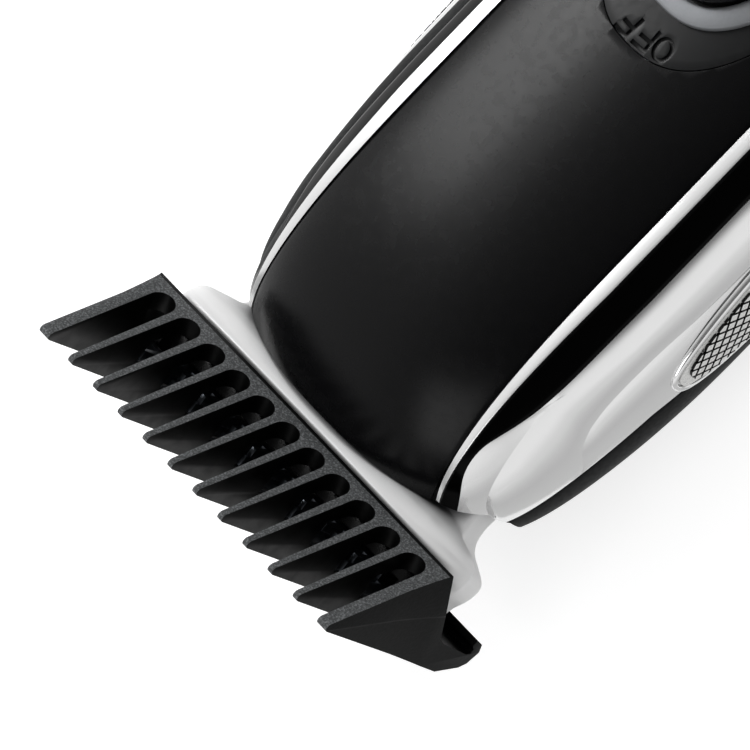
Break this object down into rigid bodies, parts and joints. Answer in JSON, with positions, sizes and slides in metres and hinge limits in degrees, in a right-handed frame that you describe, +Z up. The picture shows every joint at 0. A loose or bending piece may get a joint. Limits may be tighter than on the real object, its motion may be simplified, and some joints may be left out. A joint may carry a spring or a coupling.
{
  "type": "hair clipper",
  "caption": "Cordless hair clipper with a slotted guide comb over the blades, chrome neck and side panels, satin black front cover and an oval slide switch.",
  "frame": {"origin": "centre of the bounding box at its bottom face, under the flat back that the clipper lies on", "axes": "+Y from the comb to the tail, +Z up through the switch face, +X to the right side seen with the comb pointing away from +Y"},
  "size_m": [0.0472, 0.176, 0.0352],
  "materials": {
    "comb_plastic": "fine matt, moulded dark grey nylon",
    "chrome_plated": "bright chrome plating on moulded plastic",
    "blade_steel": "ground carbon steel",
    "spring_steel": "bright spring strip",
    "screw_steel": "zinc-plated steel",
    "acetal_white": "white acetal",
    "seal_rubber": "black rubber",
    "satin_black": "satin black lacquer",
    "gloss_black": "polished black plastic",
    "knurled_metal": "diamond knurled, satin nickel",
    "back_plastic": "smooth dark plastic",
    "ring_satin": "satin grey",
    "button_black": "satin black plastic",
    "frame_plastic": "plain grey plastic",
    "can_steel": "nickel-plated drawn steel",
    "bronze": "sintered bronze",
    "board_green": "solder-masked board",
    "cell_sleeve": "shrink sleeve",
    "nickel_strip": "nickel strip",
    "lead_red": "wire insulation",
    "lens_clear": "clear light pipe"
  },
  "bodies": {
    "body": {"head_housing": "chrome_plated", "fixed_blade": "blade_steel", "blade_springs": "spring_steel", "blade_screws": "screw_steel", "neck_seal": "seal_rubber", "front_cover": "satin_black", "trim_left": "chrome_plated", "trim_right": "chrome_plated", "side_band_left": "gloss_black", "side_band_right": "gloss_black", "side_panel_left": "back_plastic", "side_panel_right": "chrome_plated", "grip_rim_left": "chrome_plated", "grip_rim_right": "chrome_plated", "grip_left": "knurled_metal", "grip_right": "knurled_metal", "back_shell": "back_plastic", "tail_cap": "gloss_black", "switch_plate": "satin_black", "switch_ring": "ring_satin", "slide_switch": "screw_steel", "circuit_board": "board_green", "charge_socket": "gloss_black", "charge_lens": "lens_clear", "chassis": "frame_plastic", "motor_can": "can_steel", "motor_end_cap": "acetal_white", "motor_bushings": "bronze", "motor_screws": "screw_steel", "battery_cells": "cell_sleeve", "battery_tabs": "nickel_strip", "motor_leads": "lead_red", "housing_screws": "screw_steel"},
    "comb": {"guide_comb": "comb_plastic"},
    "cutter": {"moving_blade": "blade_steel", "cutter_yoke": "acetal_white"},
    "rotor": {"motor_shaft": "can_steel", "eccentric_cam": "acetal_white"},
    "switch": {"switch_button": "button_black", "switch_lever": "acetal_white"}
  },
  "joints": [
    {"name": "comb_slide", "type": "slide", "parent": "body", "child": "comb", "axis": [0, -0.7004, 0.7138], "range_m": [0, 0.025]},
    {"name": "cutter_slide", "type": "slide", "parent": "body", "child": "cutter", "axis": [1, 0, 0], "range_m": [-0.001, 0.001]},
    {"name": "motor_spin", "type": "hinge", "parent": "body", "child": "rotor", "pos_m": [0, -0.04, 0.0155], "axis": [0, 1, 0], "continuous": true},
    {"name": "switch_slide", "type": "slide", "parent": "body", "child": "switch", "axis": [0, 1, 0], "range_m": [0, 0.004]}
  ]
}
